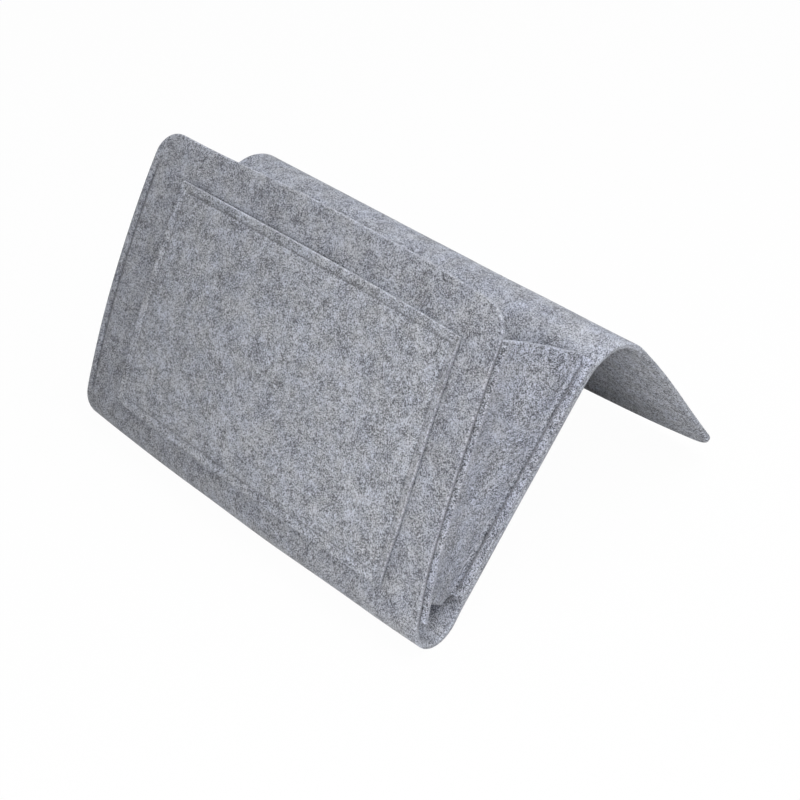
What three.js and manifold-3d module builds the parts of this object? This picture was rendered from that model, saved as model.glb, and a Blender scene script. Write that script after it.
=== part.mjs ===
// A bedside caddy of thick felt, set up as a tent: it stands on its bottom fold and on the tuck flap.
// One long strip of felt makes the front panel, the bottom fold, the back panel, the top fold and the flap.
// Two tapered gussets close the ends of the main pocket, and a patch pocket is sewn on the front panel.
import * as THREE from "three";
import { mergeVertices } from "three/addons/utils/BufferGeometryUtils.js";
import Module from "manifold-3d";

const wasm = await Module();
wasm.setup();

// The felt strip, millimetres
const feltThickness = 3;
const stripWidth = 320;
const frontLength = 188;
const backLength = 158;
const flapLength = 149;
const bottomFoldRadius = 16.5; // inside the fold
const topFoldRadius = 28.5; // inside the fold
const cornerRadius = 18; // at both free ends of the strip

// Leans from upright, tipping back
const frontBaseDegrees = 19;
const frontTopDegrees = 30.5;
const backDegrees = 42.4;

// Gussets: webs between the panels, with flanges that turn outwards and are sewn to both panels
const flangeWidth = 13;
const webInset = 9; // from the strip's edge to the web's outer face
const gussetDrop = 20; // from the front panel's top edge to the gusset
const heldBend = 13; // stretch of the top fold that the gussets' rear flanges hold
const webFootRise = 7; // from the bottom fold to the web's lower edge, along each panel
const rearFlangeRise = 5; // from the bottom fold to the rear flange

// Patch pocket on the front panel
const pocketThickness = 3;
const pocketWidth = 258;
const pocketShift = 6.5; // sewn on this far off centre
const pocketTopDrop = 26.5; // from the front panel's top edge
const pocketFootRise = 9; // from the bottom fold

// Seams: a needle thread on one face and a bobbin thread on the other, sunk in the felt
const threadDiameter = 0.9;
const sideSeamInset = 6; // from the strip's edge
const sideSeamEnd = 4; // left unsewn at each end of a flange
const pocketSeamInset = 6; // from the patch pocket's edge
const hemDrop = 6; // from the patch pocket's mouth to its hem stitching

// Fits and facets
const seatGap = 0.3; // between pieces that lie on each other
const threadClearance = 0.3; // between a thread and its channel
const trimAllowance = 1; // waste around a panel before its outline is cut
const facetSag = 0.12; // largest chord error on a bend
const cornerFacets = 8;
const threadSides = 6;

const weldDistance = 1e-4; // vertices closer than this are one

// Finishes
const feltFinish = { color: 0x9a9da5, roughness: 0.95, metalness: 0 };
const gussetFinish = { color: 0x9fa2ab, roughness: 0.95, metalness: 0 };
const threadFinish = { color: 0x8b8e97, roughness: 0.8, metalness: 0 };

const radians = THREE.MathUtils.degToRad;
const halfFelt = feltThickness / 2;
const edge = stripWidth / 2;

// A run of the strip's middle line in the Y-Z plane: a straight stretch, or an arc of a steady turn.
// A heading is the angle from +Z towards +Y of the way along the strip, from the front panel's top edge
// to the flap's free edge. The strip's outer face lies to the right of the way.
class Run {
  constructor(from, point, heading, length, turn) {
    this.from = from;
    this.to = from + length;
    this.point = point;
    this.heading = heading;
    this.bend = turn / length;
  }

  headingAt(s) {
    return this.heading + this.bend * (s - this.from);
  }

  at(s, offset = 0) {
    const along = s - this.from;
    const heading = this.headingAt(s);
    const place = this.point.clone();
    if (this.bend === 0) {
      place.x += along * Math.sin(heading);
      place.y += along * Math.cos(heading);
    } else {
      place.x += (Math.cos(this.heading) - Math.cos(heading)) / this.bend;
      place.y += (Math.sin(heading) - Math.sin(this.heading)) / this.bend;
    }
    return place.add(outward(heading).multiplyScalar(offset));
  }

  // How many flat facets stand for a stretch of this run within the chord error
  facets(length) {
    if (this.bend === 0) return 1;
    const radius = 1 / Math.abs(this.bend);
    const step = 2 * Math.acos(1 - facetSag / radius);
    return Math.max(1, Math.ceil((length * Math.abs(this.bend)) / step));
  }
}

// The outward normal of the strip at a heading, as (y, z)
function outward(heading) {
  return new THREE.Vector2(Math.cos(heading), -Math.sin(heading));
}

// The strip's middle line, run by run. s is 0 where the front panel meets the bottom fold.
function traceStrip() {
  const bottomMid = bottomFoldRadius + halfFelt;
  const topMid = topFoldRadius + halfFelt;
  const baseHeading = Math.PI + radians(frontBaseDegrees);
  const upHeading = radians(backDegrees);
  const foldCentre = new THREE.Vector2(0, bottomMid + halfFelt);
  const foldStart = foldCentre.clone().add(outward(baseHeading).multiplyScalar(bottomMid));
  const frontTurn = radians(frontTopDegrees - frontBaseDegrees);
  const front = new Run(0, foldStart, baseHeading, -frontLength, frontTurn);
  const foldTurn = upHeading - baseHeading;
  const fold = new Run(0, foldStart, baseHeading, bottomMid * Math.abs(foldTurn), foldTurn);
  const back = new Run(fold.to, fold.at(fold.to), upHeading, backLength, 0);
  const backEnd = back.at(back.to);
  const ridgeCentre = backEnd.clone().add(outward(upHeading).multiplyScalar(topMid));
  // The flap turns down until the lower corner of its free edge is on the ground.
  const reach = Math.hypot(topFoldRadius, flapLength);
  const flapHeading = Math.atan2(topFoldRadius, flapLength) + Math.acos(-ridgeCentre.y / reach);
  const ridgeTurn = flapHeading - upHeading;
  const ridge = new Run(back.to, backEnd, upHeading, topMid * ridgeTurn, ridgeTurn);
  const flap = new Run(ridge.to, ridge.at(ridge.to), flapHeading, flapLength, 0);
  return { front, fold, back, ridge, flap };
}

const strip = traceStrip();
const frontTop = strip.front.to;
const runsInOrder = [strip.fold, strip.back, strip.ridge, strip.flap];

// The run that holds a place along the strip
function runAt(s) {
  if (s < 0) return strip.front;
  return runsInOrder.find((run) => s <= run.to) ?? strip.flap;
}

// The stations from s0 to s1 that its facets need: both ends, each change of run, and steps on the bends
function stations(s0, s1) {
  const inside = runsInOrder.map((run) => run.from).filter((s) => s > s0 && s < s1);
  const stops = [s0, ...inside, s1];
  const list = [s0];
  for (let i = 1; i < stops.length; i++) {
    const length = stops[i] - stops[i - 1];
    const count = runAt((stops[i] + stops[i - 1]) / 2).facets(length);
    for (let k = 1; k <= count; k++) list.push(stops[i - 1] + (length * k) / count);
  }
  return list;
}

// Points at one offset along the strip, each as (y, z)
function edgeLine(s0, s1, offset) {
  const list = stations(s0, s1);
  return list.map((s, i) => {
    const before = list[Math.max(i - 1, 0)];
    const after = list[Math.min(i + 1, list.length - 1)];
    const run = i === 0 ? runAt((s + after) / 2) : runAt((s + before) / 2);
    return run.at(s, offset);
  });
}

// Y of the page becomes the part's Y, its Z the part's Z, and depth runs along X.
const acrossBasis = new THREE.Matrix4().makeBasis(
  new THREE.Vector3(0, 1, 0),
  new THREE.Vector3(0, 0, 1),
  new THREE.Vector3(1, 0, 0),
);

// A solid of one outline in the Y-Z plane between two places across the strip
function across(outline, x0, x1) {
  const geometry = new THREE.ExtrudeGeometry(new THREE.Shape(outline), {
    depth: x1 - x0,
    bevelEnabled: false,
  });
  return solidOf(geometry.applyMatrix4(acrossBasis).translate(x0, 0, 0));
}

// A layer that follows the strip from s0 to s1, between two offsets from its middle line
function layer(s0, s1, low, high, x0, x1) {
  const outline = [...edgeLine(s0, s1, high), ...edgeLine(s0, s1, low).reverse()];
  return across(outline, x0, x1);
}

// A three.js geometry as a solid that can be joined and cut
function solidOf(geometry) {
  geometry.deleteAttribute("normal");
  geometry.deleteAttribute("uv");
  const merged = mergeVertices(geometry, weldDistance);
  const mesh = new wasm.Mesh({
    numProp: 3,
    vertProperties: merged.attributes.position.array,
    triVerts: new Uint32Array(merged.index.array),
  });
  return new wasm.Manifold(mesh);
}

// A solid back as a geometry
function geometryOf(solid) {
  const mesh = solid.getMesh();
  const geometry = new THREE.BufferGeometry();
  geometry.setAttribute("position", new THREE.BufferAttribute(mesh.vertProperties, 3));
  geometry.setIndex(new THREE.BufferAttribute(mesh.triVerts, 1));
  geometry.computeVertexNormals();
  return geometry;
}

// A prism with the outline of a free end of the strip, with its two round corners.
// It reaches back over the whole panel, and through it both ways, as far as the strip is wide.
function endOutline(run, backwards) {
  const heading = run.headingAt(run.to);
  const tip = run.at(run.to);
  const shape = new THREE.Shape();
  shape.moveTo(-edge, stripWidth);
  shape.lineTo(-edge, cornerRadius);
  shape.absarc(-edge + cornerRadius, cornerRadius, cornerRadius, Math.PI, 1.5 * Math.PI);
  shape.lineTo(edge - cornerRadius, 0);
  shape.absarc(edge - cornerRadius, cornerRadius, cornerRadius, 1.5 * Math.PI, 2 * Math.PI);
  shape.lineTo(edge, stripWidth);
  shape.closePath();
  const options = { depth: stripWidth, bevelEnabled: false, curveSegments: cornerFacets };
  const prism = new THREE.ExtrudeGeometry(shape, options).translate(0, 0, -stripWidth / 2);
  const inwards = new THREE.Vector3(0, backwards * Math.sin(heading), backwards * Math.cos(heading));
  const sideways = new THREE.Vector3(1, 0, 0);
  const through = new THREE.Vector3().crossVectors(sideways, inwards);
  const place = new THREE.Matrix4().makeBasis(sideways, inwards, through);
  place.setPosition(0, tip.x, tip.y);
  return solidOf(prism.applyMatrix4(place));
}

// A line along the strip at one place across it, straight from station to station
class AlongStrip extends THREE.Curve {
  constructor(s0, s1, offset, x) {
    super();
    this.points = edgeLine(s0, s1, offset).map((place) => new THREE.Vector3(x, place.x, place.y));
    this.steps = this.points.length - 1;
  }

  getPoint(t) {
    const before = Math.min(Math.floor(t * this.steps), this.steps - 1);
    return this.points[before].clone().lerp(this.points[before + 1], t * this.steps - before);
  }

  // Steps fall on the stations, however far apart these are.
  getUtoTmapping(u) {
    return u;
  }
}

// The round section of a thread
function threadSection() {
  const points = [];
  for (let k = 0; k < threadSides; k++) {
    const turn = (2 * Math.PI * k) / threadSides;
    points.push(new THREE.Vector2(Math.cos(turn), Math.sin(turn)).multiplyScalar(threadDiameter / 2));
  }
  return new THREE.Shape(points);
}

// A tube of thread along a curve
function threadTube(curve, steps) {
  const options = { steps, bevelEnabled: false, extrudePath: curve };
  return solidOf(new THREE.ExtrudeGeometry(threadSection(), options));
}

const channelHalf = threadDiameter / 2 + threadClearance;
const channelDepth = threadDiameter + threadClearance;

// A seam's thread and the channel that it lies in, on the face at an offset.
// side is 1 on a face that looks out of the strip's outer side, and -1 on one that looks the other way.
function seamAlong(s0, s1, face, side, x) {
  const middle = face - (side * threadDiameter) / 2;
  const floor = face - side * channelDepth;
  const open = face + side * trimAllowance;
  const line = new AlongStrip(s0, s1, middle, x);
  const thread = threadTube(line, line.steps);
  const ends = [s0 - threadClearance, s1 + threadClearance];
  const heights = [Math.min(floor, open), Math.max(floor, open)];
  const channel = layer(...ends, ...heights, x - channelHalf, x + channelHalf);
  return { thread, channel };
}

// The same for a seam that crosses the strip
function seamAcross(s, face, side, x0, x1) {
  const middle = face - (side * threadDiameter) / 2;
  const floor = face - side * channelDepth;
  const open = face + side * trimAllowance;
  const place = runAt(s).at(s, middle);
  const from = new THREE.Vector3(x0, place.x, place.y);
  const to = new THREE.Vector3(x1, place.x, place.y);
  const thread = threadTube(new THREE.LineCurve3(from, to), 1);
  const heights = [Math.min(floor, open), Math.max(floor, open)];
  const reach = [x0 - threadClearance, x1 + threadClearance];
  const channel = layer(s - channelHalf, s + channelHalf, ...heights, ...reach);
  return { thread, channel };
}

// Seams joined into one
function joinSeams(seams) {
  const first = seams[0];
  const rest = seams.slice(1);
  return {
    thread: rest.reduce((whole, seam) => whole.add(seam.thread), first.thread),
    channel: rest.reduce((whole, seam) => whole.add(seam.channel), first.channel),
  };
}

const caddy = new THREE.Group();

// Adds one named piece with its own material
function addPiece(name, solid, finish) {
  const material = new THREE.MeshStandardMaterial(finish);
  const mesh = new THREE.Mesh(geometryOf(solid), material);
  mesh.name = name;
  caddy.add(mesh);
}

// Faces of the layers, as offsets from the strip's middle line
const flangeFace = -halfFelt - seatGap;
const flangeInner = flangeFace - feltThickness;
const pocketBack = halfFelt + seatGap;
const pocketFace = pocketBack + pocketThickness;

// Places along the strip
const gussetTop = frontTop + gussetDrop;
const gussetFoot = -seatGap;
const rearTop = strip.ridge.from + heldBend;
const rearFoot = strip.back.from + rearFlangeRise;
const pocketTop = frontTop + pocketTopDrop;
const pocketFoot = -pocketFootRise;
const pocketLeft = pocketShift - pocketWidth / 2;
const pocketRight = pocketShift + pocketWidth / 2;
const halfGap = seatGap / 2;

// Seams of the patch pocket: one around three sides, one along its mouth
function pocketSeam(face, side) {
  const left = pocketLeft + pocketSeamInset;
  const right = pocketRight - pocketSeamInset;
  const top = pocketTop + pocketSeamInset;
  const foot = pocketFoot - pocketSeamInset;
  return joinSeams([
    seamAlong(top, foot, face, side, left),
    seamAcross(foot, face, side, left, right),
    seamAlong(top, foot, face, side, right),
  ]);
}

function hemSeam(face, side) {
  const margin = 2 * pocketSeamInset;
  return seamAcross(pocketTop + hemDrop, face, side, pocketLeft + margin, pocketRight - margin);
}

const pocketNeedle = pocketSeam(pocketFace, 1);
const pocketBobbin = pocketSeam(-halfFelt, -1);
const hemNeedle = hemSeam(pocketFace, 1);
const hemBobbin = hemSeam(pocketBack, -1);

// Seams that hold the gussets' flanges, at one side of the strip
function sideSeams(side) {
  const x = side * (edge - sideSeamInset);
  const front = [gussetTop + sideSeamEnd, gussetFoot - sideSeamEnd];
  const rear = [rearFoot + sideSeamEnd, rearTop - sideSeamEnd];
  return {
    frontNeedle: seamAlong(...front, halfFelt, 1, x),
    frontBobbin: seamAlong(...front, flangeInner, -1, x),
    rearNeedle: seamAlong(...rear, flangeInner, -1, x),
    rearBobbin: seamAlong(...rear, halfFelt, 1, x),
  };
}

const sides = [
  { name: "left", side: -1 },
  { name: "right", side: 1 },
];
for (const each of sides) each.seams = sideSeams(each.side);

// A stretch of the strip over its full width, wider by an allowance at each side
function stripPiece(s0, s1, allowance = 0) {
  return layer(s0, s1, -halfFelt, halfFelt, -edge - allowance, edge + allowance);
}

// The strip, piece by piece
function frontPanel() {
  const blank = stripPiece(frontTop - trimAllowance, -halfGap, trimAllowance);
  const shaped = blank.intersect(endOutline(strip.front, 1));
  const sideCuts = sides.map((each) => each.seams.frontNeedle.channel);
  return [pocketBobbin.channel, ...sideCuts].reduce((piece, cut) => piece.subtract(cut), shaped);
}

function backPanel() {
  const blank = stripPiece(strip.back.from + halfGap, rearTop - halfGap);
  return sides.reduce((piece, each) => piece.subtract(each.seams.rearBobbin.channel), blank);
}

function tuckFlap() {
  const blank = stripPiece(strip.flap.from + halfGap, strip.flap.to + trimAllowance, trimAllowance);
  return blank.intersect(endOutline(strip.flap, -1));
}

const bottomFold = stripPiece(halfGap, strip.fold.to - halfGap);
const topFold = stripPiece(rearTop + halfGap, strip.ridge.to - halfGap);

addPiece("front_panel", frontPanel(), feltFinish);
addPiece("bottom_fold", bottomFold, feltFinish);
addPiece("back_panel", backPanel(), feltFinish);
addPiece("top_fold", topFold, feltFinish);
addPiece("tuck_flap", tuckFlap(), feltFinish);

// The patch pocket and its threads
const pocketBlank = layer(pocketTop, pocketFoot, pocketBack, pocketFace, pocketLeft, pocketRight);
const pocketCuts = [pocketNeedle, hemNeedle, hemBobbin];
const pocket = pocketCuts.reduce((piece, seam) => piece.subtract(seam.channel), pocketBlank);
addPiece("front_pocket", pocket, feltFinish);
addPiece("pocket_seam_needle_thread", pocketNeedle.thread, threadFinish);
addPiece("pocket_seam_bobbin_thread", pocketBobbin.thread, threadFinish);
addPiece("pocket_hem_needle_thread", hemNeedle.thread, threadFinish);
addPiece("pocket_hem_bobbin_thread", hemBobbin.thread, threadFinish);

// A gusset's web: it fills the space between its two flanges
function gussetWeb(side) {
  const seat = flangeInner - seatGap;
  const front = edgeLine(gussetTop, -webFootRise, seat);
  const rear = edgeLine(strip.back.from + webFootRise, rearTop, seat);
  const outer = edge - webInset;
  const inner = outer - feltThickness;
  const reach = side > 0 ? [inner, outer] : [-outer, -inner];
  return across([...front, ...rear], ...reach);
}

// A flange strip from the strip's edge inwards
function flange(s0, s1, side) {
  const inner = edge - flangeWidth;
  const reach = side > 0 ? [inner, edge] : [-edge, -inner];
  return layer(s0, s1, flangeInner, flangeFace, ...reach);
}

for (const { name, side, seams } of sides) {
  const front = flange(gussetTop, gussetFoot, side).subtract(seams.frontBobbin.channel);
  const rear = flange(rearFoot, rearTop, side).subtract(seams.rearNeedle.channel);
  addPiece(`${name}_gusset_web`, gussetWeb(side), gussetFinish);
  addPiece(`${name}_gusset_front_flange`, front, gussetFinish);
  addPiece(`${name}_gusset_rear_flange`, rear, gussetFinish);
  addPiece(`${name}_front_seam_needle_thread`, seams.frontNeedle.thread, threadFinish);
  addPiece(`${name}_front_seam_bobbin_thread`, seams.frontBobbin.thread, threadFinish);
  addPiece(`${name}_rear_seam_needle_thread`, seams.rearNeedle.thread, threadFinish);
  addPiece(`${name}_rear_seam_bobbin_thread`, seams.rearBobbin.thread, threadFinish);
}

// The part's origin is under the middle of its box, on the ground.
const box = new THREE.Box3().setFromObject(caddy);
caddy.position.y = -(box.min.y + box.max.y) / 2;
const part = new THREE.Group();
part.add(caddy);

export default part;
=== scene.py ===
"""Looks of a felt bedside caddy: folded felt, gussets, a patch pocket and its stitching."""

import logging
import math
import random
from dataclasses import dataclass, replace
from enum import Enum
from functools import cached_property
from typing import Callable

import bmesh
import bpy
from mathutils import Matrix, Vector, noise


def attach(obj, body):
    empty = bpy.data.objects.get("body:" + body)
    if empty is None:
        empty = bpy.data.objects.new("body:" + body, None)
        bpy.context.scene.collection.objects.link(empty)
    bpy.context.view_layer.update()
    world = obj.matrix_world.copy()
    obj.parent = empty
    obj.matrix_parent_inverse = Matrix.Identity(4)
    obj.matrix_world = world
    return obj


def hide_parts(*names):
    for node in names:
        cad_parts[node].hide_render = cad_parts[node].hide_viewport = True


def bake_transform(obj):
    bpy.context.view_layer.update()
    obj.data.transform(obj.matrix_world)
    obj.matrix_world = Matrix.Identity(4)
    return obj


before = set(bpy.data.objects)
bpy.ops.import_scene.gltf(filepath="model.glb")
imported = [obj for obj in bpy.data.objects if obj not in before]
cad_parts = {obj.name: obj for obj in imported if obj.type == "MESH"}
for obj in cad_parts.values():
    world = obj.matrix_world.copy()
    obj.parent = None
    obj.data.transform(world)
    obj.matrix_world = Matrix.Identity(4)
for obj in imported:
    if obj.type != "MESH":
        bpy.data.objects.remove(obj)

LOG = logging.getLogger("bedside_caddy")
TINY = 1e-9

Lay = Callable[[float, float, float], Vector]
Colour = tuple[float, float, float]
Place = tuple[float, float, float]
Flat = tuple[float, float]


class Side(Enum):
    """The two ends of the caddy, with the sign of X there."""

    LEFT = -1
    RIGHT = 1


class Face(Enum):
    """The two faces of a layer of felt, with the sign of the lift on each."""

    OUTER = 1
    INNER = -1


def ease(value: float) -> float:
    """A smooth step from 0 to 1 as value goes from 0 to 1."""
    t = max(0.0, min(1.0, value))
    return t * t * (3.0 - 2.0 * t)


def mix(a: float, b: float, t: float) -> float:
    """The value t of the way from a to b."""
    return a + (b - a) * t


@dataclass(frozen=True)
class StripPath:
    """The path of the long felt strip, as it stands.

    A place on it is x across the strip, s along it and a lift from its middle layer. s is 0 where the
    front panel meets the bottom fold, negative up the front panel, and grows over the fold, the back
    panel, the top fold and the flap. A lift is positive towards the strip's outer face.
    """

    # Cut and folds, as in the solids
    width: float = 0.320
    thickness: float = 0.003
    front_length: float = 0.188
    back_length: float = 0.158
    flap_length: float = 0.149
    bottom_radius: float = 0.0165
    top_radius: float = 0.0285
    front_base_lean: float = math.radians(19.0)
    front_top_lean: float = math.radians(30.5)
    back_lean: float = math.radians(42.4)
    held_bend: float = 0.013
    fold_back: float = 0.11781

    # How soft felt stands: the front panel
    front_twist: float = math.radians(3.6)
    front_shift: float = 0.0011
    left_taper: float = 0.0024
    mouth_bow: float = 0.0037
    left_drop: float = 0.0029
    left_drop_end: float = 0.81
    right_drop: float = 0.0022
    right_drop_start: float = 0.58
    right_drop_end: float = 0.93
    drop_start: float = 0.140

    # The bottom fold
    fold_bulge: float = 0.0029
    front_bulge_reach: float = 0.130
    back_bulge_reach: float = 0.110
    right_slip: float = 0.0036
    right_slip_middle: float = 0.012
    right_slip_reach: float = 0.050
    left_slip: float = 0.0032
    left_slip_middle: float = 0.024
    left_slip_reach: float = 0.030

    # The back panel, the top fold and the flap
    rear_flare: float = 0.0163
    rear_skew: float = 0.0010
    ridge_tilt: float = 0.0015
    ridge_rise: float = 0.0003
    flap_lift: float = math.radians(0.6)
    flap_slack: float = math.radians(4.0)
    slack_length: float = 0.070
    flap_tip_trim: float = 0.0095
    flap_tuck: float = 0.0030

    # Waves all over
    ripple: float = 0.0004
    ripple_scale: float = 16.0

    @property
    def edge(self) -> float:
        """Half of the strip's width."""
        return self.width / 2

    @property
    def half(self) -> float:
        """Half of the felt's thickness."""
        return self.thickness / 2

    @property
    def bottom_middle(self) -> float:
        """The bottom fold's radius at the felt's middle."""
        return self.bottom_radius + self.half

    @property
    def top_middle(self) -> float:
        """The top fold's radius at the felt's middle."""
        return self.top_radius + self.half

    @cached_property
    def back_start(self) -> float:
        """Where the back panel starts along the strip."""
        return self.bottom_middle * (math.pi + self.front_base_lean - self.back_lean)

    @property
    def ground_line(self) -> float:
        """Where the bottom fold stands on the ground, along the strip."""
        return self.bottom_middle * (math.pi / 2 + self.front_base_lean)

    @property
    def ridge_start(self) -> float:
        """Where the top fold starts along the strip."""
        return self.back_start + self.back_length

    @property
    def held_end(self) -> float:
        """Where the gussets let go of the top fold."""
        return self.ridge_start + self.held_bend

    @cached_property
    def fold_centre(self) -> Vector:
        """The bottom fold's centre, as y and z."""
        return Vector((0.0, self.bottom_middle + self.half))

    @cached_property
    def back_foot(self) -> Vector:
        """The lower end of the back panel, as y and z."""
        return self.fold_centre + self.outward(self.back_lean) * self.bottom_middle

    @cached_property
    def ridge_centre(self) -> Vector:
        """The top fold's centre, as y and z."""
        top = self.back_foot + self.along(self.back_lean) * self.back_length
        return top + self.outward(self.back_lean) * self.top_middle

    @cached_property
    def flap_heading(self) -> float:
        """The heading at which the flap's free edge is on the ground.

        Returns:
            The heading, in radians.
        """
        reach = math.hypot(self.top_radius, self.flap_length)
        droop = math.acos(-self.ridge_centre.y / reach)
        return math.atan2(self.top_radius, self.flap_length) + droop

    @cached_property
    def flap_start(self) -> float:
        """Where the flap starts along the strip."""
        return self.ridge_start + self.top_middle * (self.flap_heading - self.back_lean)

    @property
    def flap_end(self) -> float:
        """The flap's free edge."""
        return self.flap_start + self.flap_length

    @staticmethod
    def along(heading: float) -> Vector:
        """The way along the strip at a heading, as y and z."""
        return Vector((math.sin(heading), math.cos(heading)))

    @staticmethod
    def outward(heading: float) -> Vector:
        """The normal of the strip's outer face at a heading, as y and z."""
        return Vector((math.cos(heading), -math.sin(heading)))

    def _mouth_drop(self, across: float) -> float:
        """How far the front panel's top edge hangs below its middle.

        Args:
            across: the place across the strip, from -1 to 1.

        Returns:
            The drop.
        """
        left = self.left_drop * ease(-across / self.left_drop_end)
        span = self.right_drop_end - self.right_drop_start
        return left + self.right_drop * ease((across - self.right_drop_start) / span)

    def _front(self, across: float, height: float) -> tuple[Vector, float]:
        """The middle line on the front panel, which leans more on the left than on the right.

        Args:
            across: the place across the strip, from -1 to 1.
            height: the place up the panel.

        Returns:
            The place as y and z, and the heading there.
        """
        upper = ease((height - self.drop_start) / (self.front_length - self.drop_start))
        rise = height - self._mouth_drop(across) * upper
        base = self.front_base_lean
        turn = self.front_top_lean - base - self.front_twist * across
        bend = turn / self.front_length
        lean = base + bend * rise
        foot = self.fold_centre + self.outward(math.pi + base) * self.bottom_middle
        y = foot.x + (math.cos(base) - math.cos(lean)) / bend
        z = foot.y + (math.sin(lean) - math.sin(base)) / bend
        return Vector((y, z)), math.pi + lean

    def _bent(self, across: float, run: float) -> tuple[Vector, float]:
        """The middle line past the back panel: the near end of the fold is slack, and the flap curls.

        Args:
            across: the place across the strip, from -1 to 1.
            run: the place along the strip, from the start of the top fold.

        Returns:
            The place as y and z, and the heading there.
        """
        near = max(0.0, across) ** 2
        slack = self.flap_slack * near
        turn = self.flap_heading - self.back_lean
        fold = self.flap_start - self.ridge_start
        stretches = (
            (fold, turn - slack),
            (self.slack_length, slack - self.flap_lift * near),
            (self.flap_length - self.slack_length, 0.0),
        )
        if run > fold:
            run = fold + (run - fold) * (1.0 - self.flap_tip_trim / self.flap_length * near)
        point = self.back_foot + self.along(self.back_lean) * self.back_length
        heading = self.back_lean
        for length, bend in stretches:
            share = min(run, length)
            after = heading + bend * share / length
            half = (after - heading) / 2
            chord = share * (math.sin(half) / half if abs(half) > TINY else 1.0)
            point = point + self.along(heading + half) * chord
            heading = after
            run -= share
            if run <= 0.0:
                break
        return point, heading

    def middle(self, across: float, s: float) -> tuple[Vector, float]:
        """The middle line of the felt.

        Args:
            across: the place across the strip, from -1 at the left edge to 1 at the right edge.
            s: the place along the strip.

        Returns:
            The place as y and z, and the heading there.
        """
        if s < 0.0:
            return self._front(across, -s)
        if s < self.back_start:
            heading = math.pi + self.front_base_lean - s / self.bottom_middle
            return self.fold_centre + self.outward(heading) * self.bottom_middle, heading
        if s < self.ridge_start:
            return self.back_foot + self.along(self.back_lean) * (s - self.back_start), self.back_lean
        return self._bent(across, s - self.ridge_start)

    def _sideways(self, across: float, s: float) -> float:
        """How far a place is pulled along X from where the cut strip would put it.

        Args:
            across: the place across the strip, from -1 to 1.
            s: the place along the strip.

        Returns:
            The shift.
        """
        right, left = max(0.0, across), max(0.0, -across)
        risen = (s - self.back_start) / self.back_length
        right_reach = abs(s - self.right_slip_middle) / self.right_slip_reach
        left_reach = abs(s - self.left_slip_middle) / self.left_slip_reach
        shift = self.right_slip * right * (1.0 - ease(right_reach))
        shift += self.left_slip * left * (1.0 - ease(left_reach))
        shift += self.front_shift * right * (1.0 - ease(s / self.back_start))
        shift += self.rear_skew * right * ease(s / self.back_start) * (1.0 - 2.0 * ease(risen))
        shift -= self.rear_flare * left * ease(risen)
        return shift + self.left_taper * left * max(0.0, -s / self.front_length)

    def _swell(self, s: float) -> float:
        """How much of the bottom fold's bulge reaches a place.

        Args:
            s: the place along the strip.

        Returns:
            The share, from 0 to 1.
        """
        if s < 0.0:
            return 1.0 - ease(-s / self.front_bulge_reach)
        return 1.0 - ease((s - self.back_start) / self.back_bulge_reach)

    def place(self, x: float, s: float, lift: float) -> Vector:
        """A point of the strip in the part's frame.

        Args:
            x: the place across the strip.
            s: the place along the strip.
            lift: the distance from the felt's middle, towards the outer face.

        Returns:
            The point, in metres.
        """
        across = max(-1.0, min(1.0, x / self.edge))
        belly = 1.0 - across * across
        point, heading = self.middle(across, s)
        if s < 0.0:
            lift -= self.mouth_bow * belly * (s / self.front_length) ** 2
        wave = Vector((x * self.ripple_scale, s * self.ripple_scale, 0.0))
        lift += self.ripple * noise.noise(wave)
        point = point + self.outward(heading) * lift
        tucked = ease((s - self.flap_start) / self.flap_length)
        risen = ease((s - self.back_start) / self.back_length) * (1.0 - tucked)
        forward = self.fold_back + self.fold_bulge * belly * self._swell(s) + self.flap_tuck * tucked
        higher = (self.ridge_rise - self.ridge_tilt * across) * risen
        return Vector((x + self._sideways(across, s), point.x - forward, point.y + higher))

    def normal(self, s: float, x: float) -> Vector:
        """The normal of the strip's outer face.

        Args:
            s: the place along the strip.
            x: the place across it.

        Returns:
            The normal in the part's frame.
        """
        heading = self.middle(max(-1.0, min(1.0, x / self.edge)), s)[1]
        side = self.outward(heading)
        return Vector((0.0, side.x, side.y))


@dataclass(frozen=True)
class Groove:
    """How a row of stitches draws the felt in: depth, reach to each side, and tone, the painted shade that
    makes it look dark.

    sink is how deep the thread itself lies below the felt.
    """

    depth: float
    reach: float
    tone: float
    sink: float


# A groove's tone is how much painted shade its row puts along the felt.
DEEP_GROOVE = Groove(depth=0.0010, reach=0.0012, tone=1.0, sink=0.0002)
PLAIN_GROOVE = Groove(depth=0.0006, reach=0.0010, tone=0.25, sink=0.0002)
FAINT_GROOVE = Groove(depth=0.0002, reach=0.0009, tone=0.05, sink=0.0005)
# EDGE_SHADE has no groove: it only paints shade along a raw edge.
EDGE_SHADE = Groove(depth=0.0, reach=0.005, tone=1.0, sink=0.0)


@dataclass(frozen=True)
class Seam:
    """A straight row of stitches, in the flat measures of the layer that it is sewn through."""

    start: Flat
    end: Flat
    groove: Groove = PLAIN_GROOVE

    LINE_STEPS = (0.0, 0.35, 0.75, 1.2, 1.9)

    def distance(self, x: float, y: float) -> float:
        """How far a flat place lies from the row.

        Args:
            x: the place across the layer.
            y: the place along it.

        Returns:
            The distance.
        """
        ax, ay = self.start
        dx, dy = self.end[0] - ax, self.end[1] - ay
        share = ((x - ax) * dx + (y - ay) * dy) / (dx * dx + dy * dy)
        share = max(0.0, min(1.0, share))
        return math.hypot(x - ax - share * dx, y - ay - share * dy)

    def pinch(self, x: float, y: float) -> float:
        """How strongly the row draws the felt in at a flat place, from 0 to 1."""
        return math.exp(-((self.distance(x, y) / self.groove.reach) ** 2))

    def lines(self, axis: int) -> list[float]:
        """Grid lines that the groove needs.

        Args:
            axis: 0 for lines across the layer, 1 for lines along it.

        Returns:
            The lines, or none where the row runs along that axis.
        """
        if abs(self.start[axis] - self.end[axis]) > TINY:
            return []
        offsets = {sign * step * self.groove.reach for step in self.LINE_STEPS for sign in (-1, 1)}
        return [self.start[axis] + offset for offset in offsets]


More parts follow.
